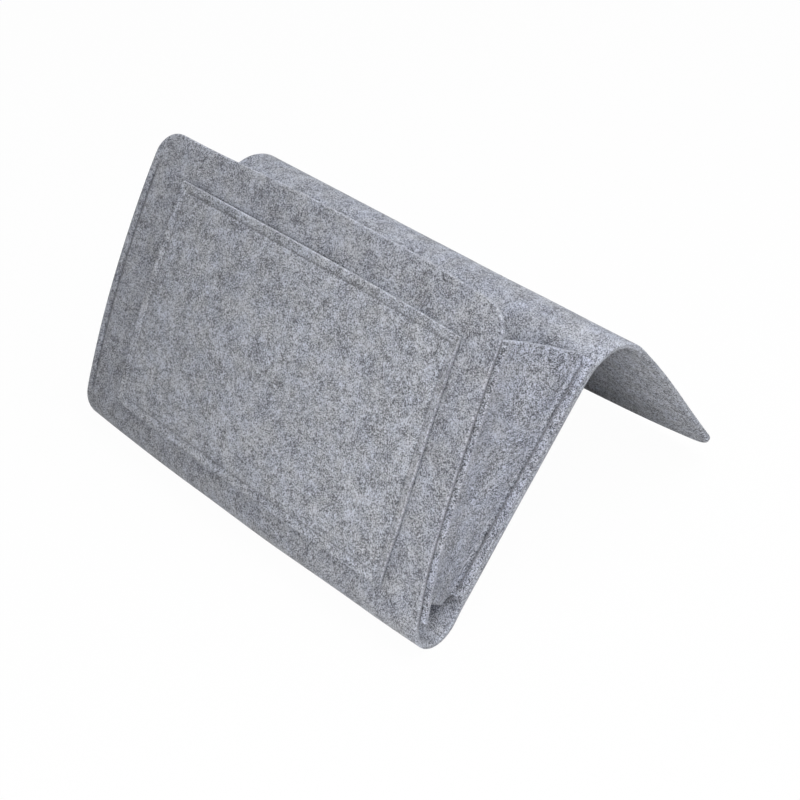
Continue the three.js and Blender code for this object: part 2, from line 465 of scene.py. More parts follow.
@dataclass
class FeltSheet:
    """A slab of felt: made flat as a grid, cut with round corners, given soft raw edges and grooves
    along its seams, and then laid on its path.

    Past lining_start, along the sheet, its outer face has its second material.
    """

    name: str
    left: float
    right: float
    start: float
    end: float
    low: float
    high: float
    lay: Lay
    start_corner: float = 0.0
    end_corner: float = 0.0
    raw_start: bool = True
    raw_end: bool = True
    pitch: float = 0.0035
    softness: float = 0.0007
    under_softness: float = 1.0
    outer_seams: tuple[Seam, ...] = ()
    inner_seams: tuple[Seam, ...] = ()
    extra_columns: tuple[float, ...] = ()
    lining_start: float = math.inf

    LINING_SLOT = 1
    EDGE_RINGS = (0.3, 1.0, 2.4)
    CLOSEST_LINES = 1.5e-4
    # RIM_PEAK is where the painted highlight on a raw edge's rim is strongest, as a share of the rounding.
    RIM_PEAK = 0.6

    def _lines(self, low: float, high: float, raw: tuple[bool, bool], axis: int) -> list[float]:
        """Grid lines across one flat axis: even ones, and closer ones at raw edges and seams.

        Args:
            low: the first line.
            high: the last line.
            raw: whether the sheet has a raw edge at each of them.
            axis: 0 across the sheet, 1 along it.

        Returns:
            The lines in order.
        """
        rings = [share * self.softness for share in self.EDGE_RINGS]
        wanted = {low, high}
        if raw[0]:
            wanted.update(low + ring for ring in rings)
        if raw[1]:
            wanted.update(high - ring for ring in rings)
        for seam in self.outer_seams + self.inner_seams:
            wanted.update(seam.lines(axis))
        if axis == 0:
            wanted.update(self.extra_columns)
        kept: list[float] = []
        for line in sorted(line for line in wanted if low <= line <= high):
            if not kept or line - kept[-1] > self.CLOSEST_LINES:
                kept.append(line)
        kept[-1] = high
        lines = [kept[0]]
        for line in kept[1:]:
            before = lines[-1]
            gap = line - before
            count = max(1, math.ceil(gap / self.pitch - TINY))
            lines.extend(before + gap * step / count for step in range(1, count + 1))
        return lines

    def _rounded(self, x: float, y: float) -> tuple[float, float]:
        """Moves a place of the square grid so that the grid's corners become round.

        Args:
            x: the place across the sheet.
            y: the place along it.

        Returns:
            The place after the move.
        """
        middle = (self.left + self.right) / 2
        sign = 1.0 if x > middle else -1.0
        edge = self.right if sign > 0 else self.left
        for end, corner, way in (
            (self.start, self.start_corner, -1.0),
            (self.end, self.end_corner, 1.0),
        ):
            if corner <= 0.0:
                continue
            u = 1.0 - abs(edge - x) / corner
            v = 1.0 - abs(end - y) / corner
            if u > 0.0 and v > 0.0:
                out_u = u * math.sqrt(1.0 - v * v / 2)
                out_v = v * math.sqrt(1.0 - u * u / 2)
                return edge - sign * corner * (1.0 - out_u), end - way * corner * (1.0 - out_v)
        return x, y

    def _inset(self, x: float, y: float) -> float:
        """How far a flat place lies inside the sheet's raw edges.

        Args:
            x: the place across the sheet.
            y: the place along it.

        Returns:
            The distance to the nearest raw edge.
        """
        side = min(x - self.left, self.right - x)
        inset = side
        for depth, corner, raw in (
            (y - self.start, self.start_corner, self.raw_start),
            (self.end - y, self.end_corner, self.raw_end),
        ):
            if not raw:
                continue
            inset = min(inset, depth)
            if corner > 0.0 and side < corner and depth < corner:
                inset = min(inset, corner - math.hypot(corner - side, corner - depth))
        return max(0.0, inset)

    def _dress(self, bm: bmesh.types.BMesh) -> None:
        """Rounds the raw edges, presses the seams in and lays the slab on its path.

        Args:
            bm: the flat slab.
        """
        # Painted shade along seam grooves and shaded raw edges, and a painted highlight on each raw edge's
        # rim, are kept as vertex masks.
        crease = bm.verts.layers.float.new("crease")
        cut = bm.verts.layers.float.new("cut")
        flat = bm.verts.layers.float_vector.new("flat")
        middle = (self.low + self.high) / 2
        for vert in bm.verts:
            x, y, lift = vert.co
            vert[flat] = vert.co
            inwards = -1.0 if lift > middle else 1.0
            seams = self.outer_seams if lift > middle else self.inner_seams
            missing = max(0.0, 1.0 - self._inset(x, y) / self.softness)
            soft = self.softness * (1.0 if lift > middle else self.under_softness)
            lift += inwards * soft * (1.0 - math.sqrt(1.0 - missing * missing))
            # Painted highlight: a pale rim along each raw edge, strongest at RIM_PEAK.
            vert[cut] = max(0.0, 1.0 - abs(missing / self.RIM_PEAK - 1.0)) if missing > 0.0 else 0.0
            # Each row darkens the colour here by its tone of painted shade.
            for seam in seams:
                pinch = seam.pinch(x, y)
                lift += inwards * seam.groove.depth * pinch
                vert[crease] = max(vert[crease], pinch * seam.groove.tone)
            vert.co = self.lay(x, y, lift)

    def _lined(self, face: bmesh.types.BMFace) -> bool:
        """Whether a face of the flat sheet lies past the start of the lining."""
        return face.calc_center_median().y > self.lining_start

    def build(self) -> bpy.types.Object:
        """Makes the sheet.

        Returns:
            The object, at the origin, with attributes that mark painted shade at its creases, a painted
            highlight on its cut edges and its flat measures.
        """
        columns = self._lines(self.left, self.right, (True, True), 0)
        rows = self._lines(self.start, self.end, (self.raw_start, self.raw_end), 1)
        bm = bmesh.new()
        bmesh.ops.create_grid(bm, x_segments=len(columns) - 1, y_segments=len(rows) - 1, size=1.0)
        for vert in bm.verts:
            column = round((vert.co.x + 1.0) / 2 * (len(columns) - 1))
            row = round((vert.co.y + 1.0) / 2 * (len(rows) - 1))
            x, y = self._rounded(columns[column], rows[row])
            vert.co = (x, y, self.low)
        made = bmesh.ops.extrude_face_region(bm, geom=bm.faces[:], use_keep_orig=True)
        for piece in made["geom"]:
            if isinstance(piece, bmesh.types.BMVert):
                piece.co.z = self.high
            elif isinstance(piece, bmesh.types.BMFace) and self._lined(piece):
                piece.material_index = self.LINING_SLOT
        self._dress(bm)
        bmesh.ops.recalc_face_normals(bm, faces=bm.faces[:])
        return finished(bm, self.name)

    def surface(self, x: float, y: float, face: Face) -> float:
        """The lift of a face at a flat place, with its seams pressed in.

        Args:
            x: the place across the sheet.
            y: the place along it.
            face: which face.

        Returns:
            The lift.
        """
        lift = self.high if face is Face.OUTER else self.low
        for seam in self.outer_seams if face is Face.OUTER else self.inner_seams:
            lift -= face.value * seam.groove.depth * seam.pinch(x, y)
        return lift


def finished(bm: bmesh.types.BMesh, name: str) -> bpy.types.Object:
    """Turns a bmesh into a smooth object of the scene.

    Args:
        bm: the mesh, which is freed.
        name: the object's name.

    Returns:
        The object, at the origin.
    """
    for face in bm.faces:
        face.smooth = True
    mesh = bpy.data.meshes.new(name)
    bm.to_mesh(mesh)
    bm.free()
    made = bpy.data.objects.new(name, mesh)
    bpy.context.scene.collection.objects.link(made)
    return made


@dataclass(frozen=True)
class StitchRow:
    """Lockstitches along seams of a sheet: short pads of thread that dive into the felt at both ends."""

    name: str
    sheet: FeltSheet
    seams: tuple[Seam, ...]
    face: Face
    pitch: float = 0.0033
    length: float = 0.0029
    width: float = 0.0009
    height: float = 0.0008
    slant: float = 0.05
    swell: float = 0.08
    sides: int = 8
    rings: int = 6
    seed: int = 5

    def _pad(self) -> bpy.types.Mesh:
        """One stitch of unit size, to be repeated.

        Returns:
            The stitch's mesh.
        """
        bm = bmesh.new()
        bmesh.ops.create_uvsphere(bm, u_segments=self.sides, v_segments=self.rings, radius=1.0)
        mesh = bpy.data.meshes.new("stitch_pad")
        bm.to_mesh(mesh)
        bm.free()
        return mesh

    def _turn(self, a: Flat, b: Flat, sink: float, chance: random.Random) -> Matrix:
        """The place, turn and size of one stitch.

        Args:
            a: the flat place where it starts.
            b: the flat place where it ends.
            sink: how deep it lies.
            chance: the source of its small differences.

        Returns:
            The matrix that lays a unit pad there.
        """
        ends = []
        for flat in (a, b):
            lift = self.sheet.surface(*flat, self.face) - self.face.value * sink
            ends.append(self.sheet.lay(*flat, lift))
        mid = ((a[0] + b[0]) / 2, (a[1] + b[1]) / 2)
        lift = self.sheet.surface(*mid, self.face)
        above = self.sheet.lay(*mid, lift + self.face.value * self.height)
        normal = (above - self.sheet.lay(*mid, lift)).normalized()
        tangent = (ends[1] - ends[0]).normalized()
        side = normal.cross(tangent).normalized()
        tangent = (tangent + side * chance.uniform(-self.slant, self.slant)).normalized()
        side = normal.cross(tangent).normalized()
        swell = 1.0 + chance.uniform(-self.swell, self.swell)
        axes = (side * self.width * swell / 2, normal * self.height * swell / 2, tangent * self.length / 2)
        turn = Matrix(axes).transposed().to_4x4()
        turn.translation = (ends[0] + ends[1]) / 2
        return turn

    def build(self) -> bpy.types.Object:
        """Makes the row.

        Returns:
            One object that holds every stitch of the row.
        """
        chance = random.Random(self.seed)
        pad = self._pad()
        bm = bmesh.new()
        for seam in self.seams:
            (ax, ay), (bx, by) = seam.start, seam.end
            count = max(1, round(math.hypot(bx - ax, by - ay) / self.pitch))
            share = self.length / self.pitch / count / 2
            for step in range(count):
                middle = (step + 0.5) / count
                a = (mix(ax, bx, middle - share), mix(ay, by, middle - share))
                b = (mix(ax, bx, middle + share), mix(ay, by, middle + share))
                turn = self._turn(a, b, seam.groove.sink, chance)
                before = len(bm.verts)
                bm.from_mesh(pad)
                bm.verts.ensure_lookup_table()
                bmesh.ops.transform(bm, matrix=turn, verts=bm.verts[before:])
        bpy.data.meshes.remove(pad)
        bmesh.ops.recalc_face_normals(bm, faces=bm.faces[:])
        return finished(bm, self.name)


def add_node(tree: bpy.types.NodeTree, kind: str, **settings: object) -> bpy.types.Node:
    """Adds a node to a tree.

    Args:
        tree: the node tree.
        kind: the node's type.
        settings: properties of the node.

    Returns:
        The node.
    """
    node = tree.nodes.new(kind)
    for name, value in settings.items():
        setattr(node, name, value)
    return node


def join(tree: bpy.types.NodeTree, source: bpy.types.NodeSocket, target: bpy.types.NodeSocket) -> None:
    """Links an output to an input."""
    tree.links.new(source, target)


class FeltGrain:
    """A shader group for heather felt: fibres, clumps, specks, patches of tint, painted shade at creases
    and a painted highlight on cut edges.

    STREAKS, FLECKS, BLOTCHES and TINTS are the detail and the roughness of their noise.
    """

    NAME = "heather_felt"
    INPUTS = (
        ("Vector", "NodeSocketVector"),
        ("Fibre Scale", "NodeSocketFloat"),
        ("Fleck Scale", "NodeSocketFloat"),
        ("Blotch Scale", "NodeSocketFloat"),
        ("Fibre", "NodeSocketFloat"),
        ("Fleck", "NodeSocketFloat"),
        ("Blotch", "NodeSocketFloat"),
        ("Speck", "NodeSocketFloat"),
        ("Tint Scale", "NodeSocketFloat"),
        ("Dark", "NodeSocketColor"),
        ("Pale", "NodeSocketColor"),
        ("Cool", "NodeSocketColor"),
        ("Warm", "NodeSocketColor"),
        # Painted shade, darkening the colour towards Dark.
        ("Crease", "NodeSocketFloat"),
        # Painted highlight on the rims of raw edges, lightening the colour towards Pale.
        ("Cut", "NodeSocketFloat"),
    )
    OUTPUTS = (("Color", "NodeSocketColor"), ("Height", "NodeSocketFloat"))
    NOISE_MEAN = 0.5
    HALF_TONE = 0.5
    STREAKS = (2.0, 0.6)
    FLECKS = (2.0, 0.6)
    BLOTCHES = (3.0, 0.65)
    TINTS = (1.0, 0.5)
    FIBRE_TURNS = (0.35, 1.45, 2.55)
    FIBRE_STRETCH = 1.6
    SPECK_FLOOR = 0.25
    CROWDING = 0.7
    TINT_START = (3.1, 1.7, 0.4)
    TINT_GAIN = 3.0
    # The share of Pale in the painted highlight on raw-edge rims.
    RIM_HIGHLIGHT_SHARE = 0.25
    # The share of Dark in the painted shade.
    PAINTED_SHADE_SHARE = 0.7

    def __init__(self) -> None:
        """Builds the group."""
        self.tree = bpy.data.node_groups.new(self.NAME, "ShaderNodeTree")
        for name, kind in self.INPUTS:
            self.tree.interface.new_socket(name, in_out="INPUT", socket_type=kind)
        for name, kind in self.OUTPUTS:
            self.tree.interface.new_socket(name, in_out="OUTPUT", socket_type=kind)
        self.given = add_node(self.tree, "NodeGroupInput").outputs
        self.result = add_node(self.tree, "NodeGroupOutput").inputs
        self._wire()

    def _feed(self, value: bpy.types.NodeSocket | float, socket: bpy.types.NodeSocket) -> None:
        """Links an output to an input, or writes a number there.

        Args:
            value: the output or the number.
            socket: the input.
        """
        if isinstance(value, bpy.types.NodeSocket):
            join(self.tree, value, socket)
        else:
            socket.default_value = value

    def _math(self, operation: str, *values: bpy.types.NodeSocket | float) -> bpy.types.NodeSocket:
        """Adds a math node.

        Args:
            operation: what it does.
            values: outputs of other nodes, or numbers.

        Returns:
            The node's output.
        """
        node = add_node(self.tree, "ShaderNodeMath", operation=operation)
        for socket, value in zip(node.inputs, values):
            self._feed(value, socket)
        return node.outputs["Value"]

    def _mixed(
        self,
        share: bpy.types.NodeSocket | float,
        first: bpy.types.NodeSocket,
        second: bpy.types.NodeSocket,
        blend: str = "MIX",
    ) -> bpy.types.NodeSocket:
        """Mixes two colours.

        Args:
            share: how much of the second colour is mixed in, from 0 to 1.
            first: the first colour.
            second: the second colour.
            blend: how the colours are mixed.

        Returns:
            The mixed colour.
        """
        node = add_node(self.tree, "ShaderNodeMix", data_type="RGBA", clamp_factor=True, blend_type=blend)
        inputs = {socket.identifier: socket for socket in node.inputs}
        self._feed(share, inputs["Factor_Float"])
        join(self.tree, first, inputs["A_Color"])
        join(self.tree, second, inputs["B_Color"])
        return next(socket for socket in node.outputs if socket.identifier == "Result_Color")

    def _noise(
        self, vector: bpy.types.NodeSocket, scale: str, grain: tuple[float, float]
    ) -> bpy.types.NodeSocket:
        """Adds noise about zero.

        Args:
            vector: the place that it is read at.
            scale: the group's input that holds its scale.
            grain: its detail and its roughness.

        Returns:
            The noise.
        """
        node = add_node(self.tree, "ShaderNodeTexNoise")
        join(self.tree, vector, node.inputs["Vector"])
        join(self.tree, self.given[scale], node.inputs["Scale"])
        detail, roughness = grain
        node.inputs["Detail"].default_value = detail
        node.inputs["Roughness"].default_value = roughness
        return self._math("SUBTRACT", node.outputs["Fac"], self.NOISE_MEAN)

    def _fibres(self) -> bpy.types.NodeSocket:
        """Short streaks that lie several ways, as matted fibres do.

        Returns:
            The streaks' noise.
        """
        total = None
        for turn in self.FIBRE_TURNS:
            drawn = add_node(self.tree, "ShaderNodeMapping", vector_type="TEXTURE")
            drawn.inputs["Rotation"].default_value = (0.0, 0.0, turn)
            drawn.inputs["Scale"].default_value = (1.0, self.FIBRE_STRETCH, 1.0)
            join(self.tree, self.given["Vector"], drawn.inputs["Vector"])
            streaks = self._noise(drawn.outputs["Vector"], "Fibre Scale", self.STREAKS)
            total = streaks if total is None else self._math("ADD", total, streaks)
        return total

    def _wire(self) -> None:
        """Links the group's nodes."""
        given = self.given
        fibre = self._fibres()
        fleck = self._noise(given["Vector"], "Fleck Scale", self.FLECKS)
        blotch = self._noise(given["Vector"], "Blotch Scale", self.BLOTCHES)
        crowd = self._math("MULTIPLY_ADD", blotch, self.CROWDING, fibre)
        specks = self._math("MAXIMUM", self._math("SUBTRACT", crowd, self.SPECK_FLOOR), 0.0)
        tone = self._math("MULTIPLY_ADD", fibre, given["Fibre"], self.HALF_TONE)
        tone = self._math("MULTIPLY_ADD", fleck, given["Fleck"], tone)
        tone = self._math("SUBTRACT", tone, self._math("MULTIPLY", blotch, given["Blotch"]))
        tone = self._math("SUBTRACT", tone, self._math("MULTIPLY", specks, given["Speck"]))
        shade = self._mixed(tone, given["Dark"], given["Pale"])
        apart = add_node(self.tree, "ShaderNodeMapping")
        apart.inputs["Location"].default_value = self.TINT_START
        join(self.tree, given["Vector"], apart.inputs["Vector"])
        warmth = self._noise(apart.outputs["Vector"], "Tint Scale", self.TINTS)
        warmth = self._math("MULTIPLY_ADD", warmth, self.TINT_GAIN, self.HALF_TONE)
        tint = self._mixed(warmth, given["Cool"], given["Warm"])
        tinted = self._mixed(1.0, shade, tint, "MULTIPLY")
        # Painted highlight on the rims of raw edges, mixed towards Pale.
        cut = self._math("MULTIPLY", given["Cut"], self.RIM_HIGHLIGHT_SHARE)
        raw = self._mixed(cut, tinted, given["Pale"])
        # Painted shade in seam grooves and along shaded raw edges, mixed towards Dark.
        crease = self._math("MULTIPLY", given["Crease"], self.PAINTED_SHADE_SHARE)
        with_painted_shade = self._mixed(crease, raw, given["Dark"])
        join(self.tree, with_painted_shade, self.result["Color"])
        join(self.tree, self._math("ADD", fibre, fleck), self.result["Height"])


@dataclass(frozen=True)
class FeltFinish:
    """Heather grey felt, as one material.

    offset moves the grain, so that no face lies where the noise is flat.
    """

    name: str
    dark: Colour
    pale: Colour
    offset: Place = (0.0, 0.0, 0.0)
    cool: Colour = (0.985, 1.0, 1.035)
    warm: Colour = (1.005, 1.0, 0.98)
    fibre_scale: float = 2300.0
    fleck_scale: float = 300.0
    blotch_scale: float = 100.0
    tint_scale: float = 75.0
    fibre: float = 4.2
    fleck: float = 1.2
    blotch: float = 1.5
    speck: float = 2.0
    roughness: float = 0.95
    gloss: float = 0.15
    sheen: float = 0.25
    sheen_roughness: float = 0.6
    bump: float = 0.5
    bump_height: float = 0.0006

    def material(self, grain: FeltGrain) -> bpy.types.Material:
        """Builds the material.

        Args:
            grain: the felt's shader group.

        Returns:
            The material.
        """
        made = bpy.data.materials.new(self.name)
        made.use_nodes = True
        tree = made.node_tree
        shader = tree.nodes["Principled BSDF"]
        shader.inputs["Roughness"].default_value = self.roughness
        shader.inputs["Specular IOR Level"].default_value = self.gloss
        shader.inputs["Sheen Weight"].default_value = self.sheen
        shader.inputs["Sheen Roughness"].default_value = self.sheen_roughness
        group = add_node(tree, "ShaderNodeGroup", node_tree=grain.tree)
        flat = add_node(tree, "ShaderNodeAttribute", attribute_name="flat")
        shift = add_node(tree, "ShaderNodeMapping")
        shift.inputs["Location"].default_value = self.offset
        join(tree, flat.outputs["Vector"], shift.inputs["Vector"])
        join(tree, shift.outputs["Vector"], group.inputs["Vector"])
        for name in ("Fibre Scale", "Fleck Scale", "Blotch Scale", "Tint Scale"):
            group.inputs[name].default_value = getattr(self, name.lower().replace(" ", "_"))
        for name in ("Fibre", "Fleck", "Blotch", "Speck"):
            group.inputs[name].default_value = getattr(self, name.lower())
        for name in ("Dark", "Pale", "Cool", "Warm"):
            group.inputs[name].default_value = (*getattr(self, name.lower()), 1.0)
        # Masks of painted shade and of the painted highlight on raw-edge rims.
        for name in ("crease", "cut"):
            mark = add_node(tree, "ShaderNodeAttribute", attribute_name=name)
            join(tree, mark.outputs["Fac"], group.inputs[name.title()])
        bump = add_node(tree, "ShaderNodeBump")
        bump.inputs["Strength"].default_value = self.bump
        bump.inputs["Distance"].default_value = self.bump_height
        join(tree, group.outputs["Height"], bump.inputs["Height"])
        join(tree, group.outputs["Color"], shader.inputs["Base Color"])
        join(tree, bump.outputs["Normal"], shader.inputs["Normal"])
        return made


@dataclass(frozen=True)
class ThreadFinish:
    """Grey sewing thread with a fine twist."""

    name: str
    dark: Colour
    pale: Colour
    twist_scale: float = 1500.0
    roughness: float = 0.75
    sheen: float = 0.15
    bump_height: float = 0.0002

    def material(self) -> bpy.types.Material:
        """Builds the material.

        Returns:
            The material.
        """
        made = bpy.data.materials.new(self.name)
        made.use_nodes = True
        tree = made.node_tree
        shader = tree.nodes["Principled BSDF"]
        shader.inputs["Roughness"].default_value = self.roughness
        shader.inputs["Sheen Weight"].default_value = self.sheen
        place = add_node(tree, "ShaderNodeTexCoord")
        twist = add_node(tree, "ShaderNodeTexNoise")
        twist.inputs["Scale"].default_value = self.twist_scale
        join(tree, place.outputs["Object"], twist.inputs["Vector"])
        shade = add_node(tree, "ShaderNodeValToRGB")
        shade.color_ramp.elements[0].color = (*self.dark, 1.0)
        shade.color_ramp.elements[1].color = (*self.pale, 1.0)
        join(tree, twist.outputs["Fac"], shade.inputs["Fac"])
        join(tree, shade.outputs["Color"], shader.inputs["Base Color"])
        bump = add_node(tree, "ShaderNodeBump")
        bump.inputs["Distance"].default_value = self.bump_height
        join(tree, twist.outputs["Fac"], bump.inputs["Height"])
        join(tree, bump.outputs["Normal"], shader.inputs["Normal"])
        return made


@dataclass
class Wardrobe:
    """The caddy's materials. The lining is the strip's face inside the tent, with a coarser grain."""

    strip: bpy.types.Material
    lining: bpy.types.Material
    pocket: bpy.types.Material
    gusset: bpy.types.Material
    thread: bpy.types.Material

    @classmethod
    def stocked(cls) -> "Wardrobe":
        """Builds every material once.

        Returns:
            The materials.
        """
        grain = FeltGrain()
        strip = FeltFinish(
            name="strip_felt",
            dark=(0.062, 0.064, 0.078),
            pale=(0.588, 0.611, 0.677),
            offset=(0.0, 0.0, 0.0235),
        )
        lining = replace(strip, name="lining_felt", fibre_scale=1260.0)
        pocket = FeltFinish(
            name="pocket_felt",
            dark=(0.073, 0.075, 0.087),
            pale=(0.645, 0.671, 0.742),
            offset=(0.31, 0.0, 0.0212),
        )
        gusset = FeltFinish(
            name="gusset_felt",
            dark=(0.036, 0.038, 0.046),
            pale=(0.610, 0.636, 0.728),
            offset=(0.0, 0.77, 0.0235),
            fibre=6.5,
            fleck=1.6,
            blotch=1.7,
        )
        thread = ThreadFinish(name="seam_thread", dark=(0.12, 0.125, 0.145), pale=(0.26, 0.265, 0.29))
        felts = [finish.material(grain) for finish in (strip, lining, pocket, gusset)]
        return cls(*felts, thread.material())


def dress(
    piece: bpy.types.Object, material: bpy.types.Material, slot: str, *nodes: str
) -> bpy.types.Object:
    """Gives a piece its material and hides the solids that it stands for.

    Args:
        piece: the piece.
        material: its material.
        slot: not used.
        nodes: the solids that it replaces.

    Returns:
        The piece.
    """
    piece.data.materials.append(material)
    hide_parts(*nodes)
    LOG.info("%s: %d faces", piece.name, len(piece.data.polygons))
    return piece


@dataclass
class PatchPocket:
    """The patch pocket on the front panel, open along its upper edge.

    Its raw edges lie outside its seam and stand a little off the panel.
    """

    path: StripPath
    thickness: float = 0.0022
    width: float = 0.258
    shift: float = 0.0065
    top_drop: float = 0.0265
    foot_rise: float = 0.009
    seam_inset: float = 0.006
    hem_drop: float = 0.006
    hem_margin: float = 0.0075
    seat_gap: float = 0.0001
    gape: float = 0.0020
    gape_middle: float = -0.45
    gape_spread: float = 0.75
    gape_reach: float = 0.030
    right_curl: float = 0.0013
    left_curl: float = 0.0004
    foot_curl: float = 0.0004
    foot_taper: float = 0.004
    taper_length: float = 0.055
    softness: float = 0.0006
    under_softness: float = 0.2

    @property
    def left(self) -> float:
        """The pocket's left edge across the strip."""
        return self.shift - self.width / 2

    @property
    def right(self) -> float:
        """The pocket's right edge across the strip."""
        return self.shift + self.width / 2

    @property
    def top(self) -> float:
        """The pocket's mouth along the strip."""
        return self.top_drop - self.path.front_length

    @property
    def foot(self) -> float:
        """The pocket's lower edge along the strip."""
        return -self.foot_rise

    def seams(self) -> tuple[Seam, ...]:
        """The seam round three sides of the pocket.

        Returns:
            Its three rows.
        """
        left, right = self.left + self.seam_inset, self.right - self.seam_inset
        top, foot = self.top + self.seam_inset, self.foot - self.seam_inset
        corners = ((left, top), (left, foot), (right, foot), (right, top))
        return tuple(Seam(a, b) for a, b in zip(corners, corners[1:]))

    def hem(self) -> tuple[Seam, ...]:
        """The stitching along the pocket's mouth."""
        row = self.top + self.hem_drop
        return (Seam((self.left + self.hem_margin, row), (self.right - self.hem_margin, row)),)

    def _curl(self, x: float, s: float) -> float:
        """How far the felt outside the seam stands off the panel.

        Args:
            x: the place across the strip.
            s: the place along it.

        Returns:
            The height.
        """
        total = 0.0
        for height, depth in (
            (self.left_curl, x - self.left),
            (self.right_curl, self.right - x),
            (self.foot_curl, self.foot - s),
        ):
            total = max(total, height * max(0.0, 1.0 - depth / self.seam_inset) ** 2)
        return total

    def _lay(self, x: float, s: float, lift: float) -> Vector:
        """Lays the pocket on the front panel, with its mouth a little open and its near foot drawn in.

        Args:
            x: the place across the strip.
            s: the place along it.
            lift: the distance from the strip's middle.

        Returns:
            The point in the part's frame.
        """
        across = (x - self.shift) / (self.width / 2)
        aside = (across - self.gape_middle) / self.gape_spread
        openness = max(0.0, 1.0 - across * across) * max(0.0, 1.0 - aside * aside)
        openness *= math.exp(-(s - self.top) / self.gape_reach)
        drawn = self.foot_taper * max(0.0, across) * ease(1.0 + s / self.taper_length)
        return self.path.place(x - drawn, s, lift + self.gape * openness + self._curl(x, s))

    def build(self, wardrobe: Wardrobe) -> None:
        """Builds and dresses the pocket and its stitches.

        Args:
            wardrobe: the caddy's materials.
        """
        back = self.path.half + self.seat_gap
        sheet = FeltSheet(
            "front_pocket_felt", self.left, self.right, self.top, self.foot,
            back, back + self.thickness, self._lay,
            softness=self.softness, under_softness=self.under_softness,
            outer_seams=self.seams() + self.hem(), inner_seams=self.hem(),
        )
        made = dress(sheet.build(), wardrobe.pocket, "felt", "front_pocket")
        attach(made, "front")
        for name, seams, face in (
            ("pocket_seam_needle", self.seams(), Face.OUTER),
            ("pocket_hem_needle", self.hem(), Face.OUTER),
            ("pocket_hem_bobbin", self.hem(), Face.INNER),
        ):
            row = StitchRow(f"{name}_stitches", sheet, seams, face)
            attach(dress(row.build(), wardrobe.thread, "thread", f"{name}_thread"), "front")

    def sew_through(self, front: FeltSheet, wardrobe: Wardrobe) -> None:
        """Adds the pocket's stitches that show on the inside of the front panel."""
        row = StitchRow("pocket_seam_bobbin_stitches", front, self.seams(), Face.INNER)
        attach(dress(row.build(), wardrobe.thread, "thread", "pocket_seam_bobbin_thread"), "front")


@dataclass
class LongStrip:
    """The long felt strip, as two pieces that meet across the flat back panel."""

    path: StripPath
    pocket: PatchPocket
    corner: float = 0.018
    split: float = 0.070
    seam_inset: float = 0.006
    seam_end: float = 0.004
    gusset_drop: float = 0.020
    rear_rise: float = 0.013

    def side_seam(self, side: Side) -> Seam:
        """The seam that holds a gusset's front flange, on the front panel.

        Args:
            side: the gusset's end of the caddy.

        Returns:
            The seam.
        """
        x = side.value * (self.path.edge - self.seam_inset)
        top = -self.path.front_length + self.gusset_drop + self.seam_end
        # The left end is in shade, so its seam gets a deep groove with full painted shade; the right one
        # is faint.
        groove = DEEP_GROOVE if side is Side.LEFT else FAINT_GROOVE
        return Seam((x, top), (x, -self.seam_end), groove)

    def rear_seam(self, side: Side) -> Seam:
        """The seam that holds a gusset's rear flange, on the back panel.

        Args:
            side: the gusset's end of the caddy.

        Returns:
            The seam.
        """
        x = side.value * (self.path.edge - self.seam_inset)
        foot = self.path.back_start + self.rear_rise + self.seam_end
        return Seam((x, foot), (x, self.path.held_end - self.seam_end))

    def _shade(self, side: Side) -> Seam:
        """The front panel's raw edge along a gusset's flange, where the felt is in shade."""
        x = side.value * self.path.edge
        # Painted shade: darker felt along the raw edge, with no groove.
        return Seam((x, self.gusset_drop - self.path.front_length), (x, 0.0), EDGE_SHADE)

    def build(self, wardrobe: Wardrobe) -> tuple[FeltSheet, FeltSheet]:
        """Builds and dresses both pieces.

        Args:
            wardrobe: the caddy's materials.

        Returns:
            The sheets of the front and of the rear piece.
        """
        path = self.path
        cut = path.back_start + self.split
        outer = tuple(self.side_seam(side) for side in Side) + tuple(self.rear_seam(side) for side in Side)
        shades = tuple(self._shade(side) for side in Side)
        span = (-path.edge, path.edge)
        layers = (-path.half, path.half)
        front = FeltSheet(
            "front_strip", *span, -path.front_length, cut, *layers, path.place,
            start_corner=self.corner, raw_end=False, outer_seams=outer,
            inner_seams=self.pocket.seams() + shades, lining_start=path.ground_line,
        )
        rear = FeltSheet(
            "rear_strip", *span, cut, path.flap_end, *layers, path.place,
            end_corner=self.corner, raw_start=False, outer_seams=outer, lining_start=path.ground_line,
        )
        made = self._dress(front, wardrobe, "front_panel", "bottom_fold")
        path.place(0, 0, 0)
        path.place(0, path.back_start, 0)
        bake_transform(made)
        made = self._dress(rear, wardrobe, "back_panel", "top_fold", "tuck_flap")
        path.place(0, path.held_end, 0)
        path.place(0, path.flap_start, 0)
        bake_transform(made)
        return front, rear

    def _dress(self, sheet: FeltSheet, wardrobe: Wardrobe, *nodes: str) -> bpy.types.Object:
        """Builds one piece of the strip, with its lining.

        Args:
            sheet: the piece's sheet.
            wardrobe: the caddy's materials.
            nodes: the solids that it replaces.

        Returns:
            The piece.
        """
        made = dress(sheet.build(), wardrobe.strip, "felt", *nodes)
        made.data.materials.append(wardrobe.lining)
        self._area(sheet)
        return made

    def _area(self, sheet: FeltSheet) -> float:
        """The flat area of a piece with two round corners."""
        lost = (4.0 - math.pi) / 2 * self.corner**2
        return (sheet.right - sheet.left) * (sheet.end - sheet.start) - lost

    def sew(self, front: FeltSheet, rear: FeltSheet, wardrobe: Wardrobe) -> None:
        """Adds the stitches that show on the strip's outer face.

        Args:
            front: the front piece's sheet.
            rear: the rear piece's sheet.
            wardrobe: the caddy's materials.
        """
        for side in Side:
            name = side.name.lower()
            row = StitchRow(f"{name}_front_seam_stitches", front, (self.side_seam(side),), Face.OUTER)
            made = dress(row.build(), wardrobe.thread, "thread", f"{name}_front_seam_needle_thread")
            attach(made, "front")
            row = StitchRow(f"{name}_rear_seam_bobbin", rear, (self.rear_seam(side),), Face.OUTER)
            made = dress(row.build(), wardrobe.thread, "thread", f"{name}_rear_seam_bobbin_thread")
            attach(made, "back")


